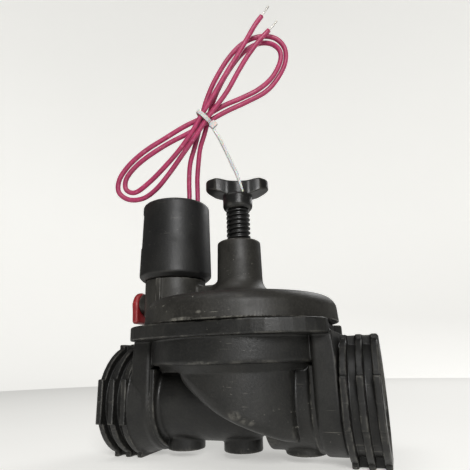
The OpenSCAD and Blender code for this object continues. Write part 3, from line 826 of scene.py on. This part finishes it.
# The tied leads stand in one leaning plane: right along it, up it, and through it to the back
LEAD_EXIT = np.array([-34.5, 4.7, 145.0])
PLANE_TURN = math.radians(20)
PLANE_LEAN = math.radians(17)
PLANE = np.array([
    [math.cos(PLANE_TURN), math.sin(PLANE_TURN), 0],
    [math.sin(PLANE_TURN) * math.sin(PLANE_LEAN), -math.cos(PLANE_TURN) * math.sin(PLANE_LEAN),
     math.cos(PLANE_LEAN)],
    [-math.sin(PLANE_TURN) * math.cos(PLANE_LEAN), math.cos(PLANE_TURN) * math.cos(PLANE_LEAN),
     math.sin(PLANE_LEAN)]])
ROUTE_A = [
    (-1, 0, 0), (-1, 10, 3), (-1, 21, 4), (0, 32, 4.5), (3, 42, 4.5), (6, 52, 4), (8.5, 62.5, 4),
    (12, 74, 4), (18, 87, 4), (27, 101, 4), (37, 111, 4), (48, 115.5, 4), (58.5, 114, 3),
    (65, 107.5, 3), (65.5, 98, 3), (60.5, 87.5, 2), (52, 78, 1.5), (39, 71, 0.5), (25.5, 65, 0),
    (13, 58.5, 0), (0.5, 51.5, 0), (-13, 45, 0), (-26, 37, -1), (-35.5, 29.5, -1.5),
    (-41.5, 21.5, -2.5), (-41.5, 14.5, -3), (-35.5, 12.5, -3.5), (-26.5, 18.5, -4), (-16, 28.5, -4),
    (-6, 39.5, -4), (2.5, 51, -4), (9, 62, -4), (15.5, 72, -4), (22, 82.5, -4), (28, 92, -4),
    (34, 101, -4), (39.5, 110, -4), (45, 119, -4), (49.8, 125.2, -4)]
ROUTE_B = [
    (4.5, 0, 0), (4.5, 10, 3), (4.5, 21, 4), (5.5, 32, 4.5), (7, 42, 4.5), (10, 51, 4),
    (12.5, 59.5, 4), (16, 71.5, 4), (22, 84.5, 4), (30.5, 97.5, 4), (39, 106.5, 4), (48.5, 111, 4),
    (56.5, 109.5, 2), (61.5, 104, 0), (61.5, 96.5, -0.5), (56, 86.5, -0.5), (47, 79, 0),
    (35.5, 73.5, 0), (23, 68.5, 0), (10, 61.5, 0), (-3, 55.5, 0), (-16, 48, 0), (-29, 40, -0.5),
    (-39.5, 31, -1), (-46, 21.5, -2), (-46.5, 13, -2.5), (-40, 8, -3), (-30.5, 8.5, -3.5),
    (-21.5, 14.5, -4), (-12.5, 25, -4), (-4, 36.5, -4), (4.5, 48, -4), (12.5, 59.5, -4),
    (19, 67.5, -4), (26.5, 77.5, -4), (33, 88.5, -4), (40, 99.5, -4), (47.5, 109, -4),
    (54.3, 115.9, -4)]
TIP_A = [(49.8, 125.2, -4), (52.2, 128.3, -4), (54.4, 131.6, -4)]
TIP_B = [(54.3, 115.9, -4), (57.2, 118.8, -4), (59.8, 122, -4)]
TIE_CENTRE = np.array([10.6, 60.7, 0.0])
TIE_TURN = math.radians(-44)
TIE_TAIL = [(16, 54.5, -4), (17.5, 51, -6), (20.5, 45, -10), (25.5, 32, -24), (28, 25, -30.5),
            (30.5, 18.5, -36.5), (33.5, 7.5, -44)]


def on_plane(points):
    """Points given in the leads' plane, in the frame, in millimetres."""
    return LEAD_EXIT + np.asarray(points, float) @ PLANE


def lead_tube(name, route, diameter):
    """A round sheath, very slightly uneven in thickness as drawn plastic is."""
    line = smooth_route(on_plane(route), 6)
    around = 20
    pairs = circle_pairs(diameter / 2, around)
    points = swept(line, lambda i: pairs * (1 + 0.012 * math.sin(i * 0.9) * math.sin(i * 0.23)))
    return piece_from(name, points, wrapped_grid(len(line), around)), line


def add_part(points, faces, new_points, new_faces):
    """Appends one part to a piece's points and faces."""
    first = len(points)
    points += list(new_points)
    faces += [tuple(first + k for k in f) for f in new_faces]


def strands(name, tip):
    """Seven tinned strands twisted together, opening slightly at the cut end."""
    line = smooth_route(on_plane(tip), 12)
    _, side, up = carried_frames(line, (0.31, 0.92, 0.24))
    points, faces = [], []
    around = 8
    for s in range(7):
        own = []
        for i, centre in enumerate(line):
            share = i / (len(line) - 1)
            r = 0.0 if s == 0 else 0.36 + 0.16 * share ** 3
            angle = s * math.pi / 3 + 5.0 * share
            own.append(centre + r * (math.cos(angle) * side[i] + math.sin(angle) * up[i]))
        pairs = circle_pairs(0.18, around)
        add_part(points, faces, swept(np.array(own), lambda i: pairs), wrapped_grid(len(line), around))
    return piece_from(name, points, faces)


STRAP_SECTION = ((-0.35, -1.2), (0.45, -1.3), (0.6, -0.9), (0.6, 0.9), (0.45, 1.3), (-0.35, 1.2))


def tie_band():
    """The tie's loop round the leads: a rounded strap with a ribbed inner face."""
    count = 96
    points = []
    for i in range(count):
        angle = 2 * math.pi * i / count
        c, s = math.cos(angle), math.sin(angle)
        reach = (abs(c) ** 3 + abs(s) ** 3) ** (-1 / 3)
        for out, along in STRAP_SECTION:
            bite = 0.12 if out < 0 and i % 2 else 0.0
            across = (5.7 + out - bite) * c * reach
            deep = (6.3 + out - bite) * s * reach
            points.append((across, along, deep))
    return points, wrapped_grid(count, 6, closed_ends=False) + [
        ((count - 1) * 6 + k, (count - 1) * 6 + (k + 1) % 6, (k + 1) % 6, k) for k in range(6)]


def tie_head():
    """The locking head as a rounded box."""
    points = []
    corner = [(1, 0.7), (0.8, 0.95), (0.45, 1)]
    half = corner + [(-x, y) for x, y in corner[::-1]]
    outline_pairs = [(x * 1.9, y * 2.5) for x, y in half + [(-x, -y) for x, y in half]]
    for scale, deep in ((0.82, -7.2), (0.96, -6.9), (1, -6.4), (1, -3.6), (0.96, -3.1), (0.82, -2.9)):
        points += [(8.2 + a * scale, b * scale, deep) for a, b in outline_pairs]
    faces = wrapped_grid(6, len(outline_pairs))
    return points, faces


def tie_tail():
    """The free strap: flat, toothed on one side and narrowed at the tip."""
    line = smooth_route(on_plane(TIE_TAIL), 14)
    last = len(line) - 1

    def section(i):
        narrow = 1.0 - 0.55 * max(0.0, (i - last + 14) / 14)
        tooth = 0.14 if i % 2 else 0.0
        w, t = 1.15 * narrow, 0.5
        return [(w, -t), (w * 0.7, t - tooth), (-w * 0.7, t - tooth), (-w, -t), (-w * 0.85, -t - 0.08),
                (w * 0.85, -t - 0.08)]

    return swept(line, section, first=PLANE[0]), wrapped_grid(len(line), 6)


def cable_tie():
    """Loop, head and tail of the tie as one piece."""
    points, faces = [], []
    c, s = math.cos(TIE_TURN), math.sin(TIE_TURN)
    for local, local_faces in (tie_band(), tie_head()):
        turned = [TIE_CENTRE + (across * c - along * s, across * s + along * c, deep)
                  for across, along, deep in local]
        add_part(points, faces, on_plane(turned), local_faces)
    add_part(points, faces, *tie_tail())
    return piece_from("cable_tie_strap", points, faces, smooth=False)


# ---------------- add-on


def length_property(name, description, default, low, high):
    """A length given in millimetres and kept in metres."""
    return FloatProperty(name=name, description=description, default=default * MM, min=low * MM,
                         max=high * MM, subtype="DISTANCE", unit="LENGTH")


class ValveSizes(bpy.types.PropertyGroup):
    """Sizes that set how fine the mouldings are and how thick the leads."""

    body_pitch: length_property(
        "Body detail", "Spacing of the body's surface points", 0.72, 0.5, 3)
    fitting_pitch: length_property(
        "Fitting detail", "Spacing of the smaller parts' surface points", 0.42, 0.25, 2)
    lead_diameter: length_property("Lead diameter", "Diameter over a lead's sheath", 3.2, 2.8, 3.3)
    lens: FloatProperty(
        name="Lens", description="Focal length of the camera", default=31.98, min=20, max=120,
        subtype="DISTANCE_CAMERA")


def colour_property(name, description, default):
    return FloatVectorProperty(name=name, description=description, default=default, size=3,
                               min=0.0, max=1.0, subtype="COLOR")


class ValveColours(bpy.types.PropertyGroup):
    """Base colours of the finishes."""

    body: colour_property("Body", "Body moulding", (0.0065, 0.0065, 0.006))
    bonnet: colour_property("Bonnet", "Bonnet moulding", (0.013, 0.012, 0.010))
    fittings: colour_property("Fittings", "Solenoid, stem and handle mouldings", (0.006, 0.006, 0.006))
    dust: colour_property("Dust", "Dust and rubbed plastic", (0.045, 0.043, 0.037))
    lever: colour_property("Lever", "Bleed lever", (0.24, 0.010, 0.013))
    leads: colour_property("Leads", "Sheath of the leads", (0.33, 0.018, 0.085))
    tie: colour_property("Tie", "Cable tie", (0.62, 0.62, 0.60))
    floor: colour_property("Floor", "Floor and backdrop", (0.72, 0.715, 0.69))


def on_body(piece, body, slot, material, *nodes):
    """Rides, replaces its CAD nodes and wears its finish. The slot argument is not used."""
    dress(piece, material)
    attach(piece, body)
    if nodes:
        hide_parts(*nodes)


# The camera's place in metres, and its yaw, pitch and roll in degrees
CAMERA_PLACE = (0.07998, -0.22983, 0.04869)
CAMERA_TURNS = (19.71, 16.85, 1.62)


class VALVE_OT_camera(bpy.types.Operator):
    """Place the camera in front of the valve, low and a little to its right"""

    bl_idname = "valve.camera"
    bl_label = "Camera"

    def execute(self, context):
        yaw, pitch, roll = map(math.radians, CAMERA_TURNS)
        data = bpy.data.cameras.new("camera")
        data.sensor_width = 36
        data.lens = context.scene.valve_sizes.lens
        data.clip_start = 0.01
        camera = bpy.data.objects.new("camera", data)
        context.scene.collection.objects.link(camera)
        level = (Matrix.Rotation(yaw, 4, "Z") @ Matrix.Rotation(pitch, 4, "X")
                 @ Matrix.Rotation(roll, 4, "Y"))
        camera.matrix_world = (Matrix.Translation(CAMERA_PLACE) @ level
                               @ Matrix.Rotation(math.pi / 2, 4, "X"))
        context.scene.camera = camera
        return {"FINISHED"}


class VALVE_OT_leads(bpy.types.Operator):
    """Make both leads, their stripped ends and the tie that holds them in a hank"""

    bl_idname = "valve.leads"
    bl_label = "Leads and tie"

    def execute(self, context):
        sizes, colours = context.scene.valve_sizes, context.scene.valve_colours
        sheath = sheath_finish(colours.leads)
        tinned = metal_finish("tinned_strands", (0.62, 0.60, 0.56), 0.34, (900, 900, 200))
        tie = cable_tie()
        on_body(tie, "body", "tie_nylon", nylon_finish(colours.tie), "cable_tie")
        for letter, route, tip in (("a", ROUTE_A, TIP_A), ("b", ROUTE_B, TIP_B)):
            piece, line = lead_tube(f"lead_{letter}_sheath", route, sizes.lead_diameter / MM)
            on_body(piece, "body", "lead_jacket", sheath, f"lead_{letter}")
            end = strands(f"lead_{letter}_strands", tip)
            on_body(end, "body", "tinned_wire", tinned, f"bare_tip_{letter}")
        return {"FINISHED"}


class VALVE_OT_valve_body(bpy.types.Operator):
    """Mould the valve body and cut its port threads"""

    bl_idname = "valve.valve_body"
    bl_label = "Valve body"

    def execute(self, context):
        colours = context.scene.valve_colours
        corners = [node_box(node) for node in BODY_NODES]
        low = np.min([low for low, _ in corners], axis=0)
        high = np.max([high for _, high in corners], axis=0)
        finish = moulded_finish("body_moulding", colours.body, colours.dust, 0.2, 0.43, 0.6, BODY_RUBS)
        piece = mould("valve_body_moulding", valve_field, low, high,
                      context.scene.valve_sizes.body_pitch / MM, 0.3)
        on_body(piece, "body", "body_plastic", finish, *BODY_NODES)
        for name, direction in (("inlet_thread", 1), ("outlet_thread", -1)):
            on_body(port_thread(name, direction), "body", "body_plastic", finish)
        return {"FINISHED"}


class VALVE_OT_bonnet(bpy.types.Operator):
    """Mould the bonnet with its flow-control boss and solenoid tower"""

    bl_idname = "valve.bonnet"
    bl_label = "Bonnet"

    def execute(self, context):
        colours = context.scene.valve_colours
        low, high = node_box("bonnet")
        finish = moulded_finish("bonnet_moulding", colours.bonnet, colours.dust, 0.6, 0.5, 1.2,
                                BONNET_RUBS)
        piece = mould("bonnet_moulding", bonnet_field, low, high,
                      context.scene.valve_sizes.body_pitch / MM, 0.35)
        on_body(piece, "body", "bonnet_plastic", finish, "bonnet")
        return {"FINISHED"}


class VALVE_OT_solenoid(bpy.types.Operator):
    """Mould the solenoid's housing with its label recess"""

    bl_idname = "valve.solenoid"
    bl_label = "Solenoid"

    def execute(self, context):
        colours = context.scene.valve_colours
        finish = moulded_finish("solenoid_moulding", colours.fittings, colours.dust, 0.12, 0.5, 0.25)
        piece = mould("solenoid_moulding", can_field, SOLENOID_LOW, SOLENOID_HIGH,
                      context.scene.valve_sizes.fitting_pitch * 1.4 / MM, 0.35)
        on_body(piece, "body", "black_plastic", finish, "solenoid_housing")
        return {"FINISHED"}


class VALVE_OT_flow_control(bpy.types.Operator):
    """Cut the flow-control stem's thread and mould its two-winged handle"""

    bl_idname = "valve.flow_control"
    bl_label = "Flow control"

    def execute(self, context):
        colours = context.scene.valve_colours
        finish = moulded_finish("handle_moulding", colours.fittings, colours.dust, 0.1, 0.36, 0.35)
        on_body(flow_stem(), "flow_screw", "black_plastic", finish, "flow_stem")
        handle = mould("flow_handle_moulding", handle_field, HANDLE_LOW, HANDLE_HIGH,
                       context.scene.valve_sizes.fitting_pitch / MM, 0.5)
        on_body(handle, "flow_screw", "black_plastic", finish, "flow_handle")
        return {"FINISHED"}


class VALVE_OT_bleed(bpy.types.Operator):
    """Mould the red bleed lever"""

    bl_idname = "valve.bleed"
    bl_label = "Bleed lever"

    def execute(self, context):
        piece = mould("bleed_lever_moulding", lever_field, LEVER_LOW, LEVER_HIGH,
                      context.scene.valve_sizes.fitting_pitch * 0.8 / MM, 0.6)
        on_body(piece, "bleed", "red_plastic", lever_finish(context.scene.valve_colours.lever),
                "bleed_lever")
        return {"FINISHED"}


class VALVE_OT_inner_parts(bpy.types.Operator):
    """Give every working part inside its own finish"""

    bl_idname = "valve.inner_parts"
    bl_label = "Inner parts"

    def execute(self, context):
        colours = context.scene.valve_colours
        black = moulded_finish("inner_moulding", colours.fittings, colours.dust, 0.05, 0.45, 0.1)
        ivory = moulded_finish("ivory_moulding", (0.62, 0.58, 0.46), (0.5, 0.47, 0.38), 0.2, 0.45, 0.0)
        steel = metal_finish("turned_steel", (0.58, 0.57, 0.55), 0.28, (60, 60, 4000))
        copper = metal_finish("enamelled_copper", (0.62, 0.27, 0.11), 0.3, (60, 60, 3400))
        rubber = rubber_finish()
        resin = resin_finish()
        for material, nodes in (
                (black, "seat_guide diaphragm_plate flow_stop bleed_screw"),
                (ivory, "metering_plug coil_bobbin"), (copper, "coil_winding"),
                (resin, "coil_potting"),
                (rubber, "diaphragm seat_disc stem_o_rings solenoid_o_ring plunger_seal bleed_o_ring"),
                (steel, "main_spring plate_screw coil_yoke guide_tube fixed_core plunger"
                        " plunger_spring")):
            for node in nodes.split():
                dress(frame["nodes"][node], material)
        return {"FINISHED"}


# Stage sizes in metres. Each lamp has a name, place, size and power
FLOOR_R = 0.9
SWEEP_BEND = 0.5
SWEEP_TOP_Z = 3.2
FLOOR_GLOW = 0.55
SWEEP_GLOW = 0.88
AIR_GLOW = 0.12
LAMPS = (("front", (0.42, -0.82, 0.42), 0.36, 7.5), ("high", (-0.1, -0.35, 0.95), 0.5, 2.0),
         ("behind", (0.3, 0.8, 0.7), 0.5, 3.0))


class VALVE_OT_stage(bpy.types.Operator):
    """Lay the pale floor, curve a sweep up behind it and hang the soft lights"""

    bl_idname = "valve.stage"
    bl_label = "Stage"

    def execute(self, context):
        disc = [(r, 0.0) for r in (0.02, 0.1, 0.3, 0.6, FLOOR_R)]
        curve = [(FLOOR_R + SWEEP_BEND * math.sin(t), SWEEP_BEND * (1 - math.cos(t)))
                 for t in np.linspace(0, math.pi / 2, 14)[1:]]
        sweep = [(FLOOR_R, 0.0)] + curve + [(FLOOR_R + SWEEP_BEND, SWEEP_TOP_Z)]
        for name, profile, glow in (("studio_floor", disc, FLOOR_GLOW),
                                    ("studio_sweep", sweep, SWEEP_GLOW)):
            piece = self.turned(name, profile)
            dress(piece, stage_finish(name, context.scene.valve_colours.floor, glow))
        piece.visible_diffuse = False
        piece.visible_glossy = False
        piece.visible_shadow = False
        for lamp in LAMPS:
            self.soft_light(context, *lamp)
        world = bpy.data.worlds.new("studio_air")
        world.use_nodes = True
        air = world.node_tree.nodes["Background"].inputs
        air["Color"].default_value = (1.0, 0.99, 0.96, 1)
        air["Strength"].default_value = AIR_GLOW
        context.scene.world = world
        context.scene.view_settings.view_transform = "Standard"
        return {"FINISHED"}

    def turned(self, name, profile):
        """A surface of revolution that faces up and inwards, just under the valve's feet."""
        around = 96
        points = [(r * math.cos(a), r * math.sin(a), z - 0.00005) for r, z in profile
                  for a in np.arange(around) * 2 * math.pi / around]
        faces = wrapped_grid(len(profile), around, closed_ends=False)
        if profile[0][0] < 0.1:
            faces.append(tuple(range(around))[::-1])
        return piece_from(name, np.array(points) / MM, [f[::-1] for f in faces])

    def soft_light(self, context, name, place, size, power):
        data = bpy.data.lights.new(name, "AREA")
        data.shape = "DISK"
        data.size = size
        data.energy = power
        lamp = bpy.data.objects.new(name, data)
        context.scene.collection.objects.link(lamp)
        aim = Vector(place) - Vector((0.0, 0.0, 0.08))
        lamp.matrix_world = Matrix.Translation(place) @ aim.to_track_quat("Z", "Y").to_matrix().to_4x4()
        lamp.visible_camera = False


STEPS = (VALVE_OT_camera, VALVE_OT_leads, VALVE_OT_valve_body, VALVE_OT_bonnet, VALVE_OT_solenoid,
         VALVE_OT_flow_control, VALVE_OT_bleed, VALVE_OT_inner_parts, VALVE_OT_stage)


class VALVE_PT_panel(bpy.types.Panel):
    """Sidebar panel with the sizes, the colours and one button for each step"""

    bl_idname = "VALVE_PT_panel"
    bl_label = "Solenoid Valve"
    bl_space_type = "VIEW_3D"
    bl_region_type = "UI"
    bl_category = "Valve"

    def draw(self, context):
        for group in (context.scene.valve_sizes, context.scene.valve_colours):
            box = self.layout.box()
            for key in group.__annotations__:
                box.prop(group, key)
        for step in STEPS:
            self.layout.operator(step.bl_idname)


CLASSES = (ValveSizes, ValveColours, *STEPS, VALVE_PT_panel)


def register():
    for cls in CLASSES:
        bpy.utils.register_class(cls)
    bpy.types.Scene.valve_sizes = PointerProperty(type=ValveSizes)
    bpy.types.Scene.valve_colours = PointerProperty(type=ValveColours)


def unregister():
    del bpy.types.Scene.valve_colours
    del bpy.types.Scene.valve_sizes
    for cls in reversed(CLASSES):
        bpy.utils.unregister_class(cls)


def main():
    register()
    for step in STEPS:
        group, name = step.bl_idname.split(".")
        getattr(getattr(bpy.ops, group), name)()


if __name__ == "__main__":
    main()
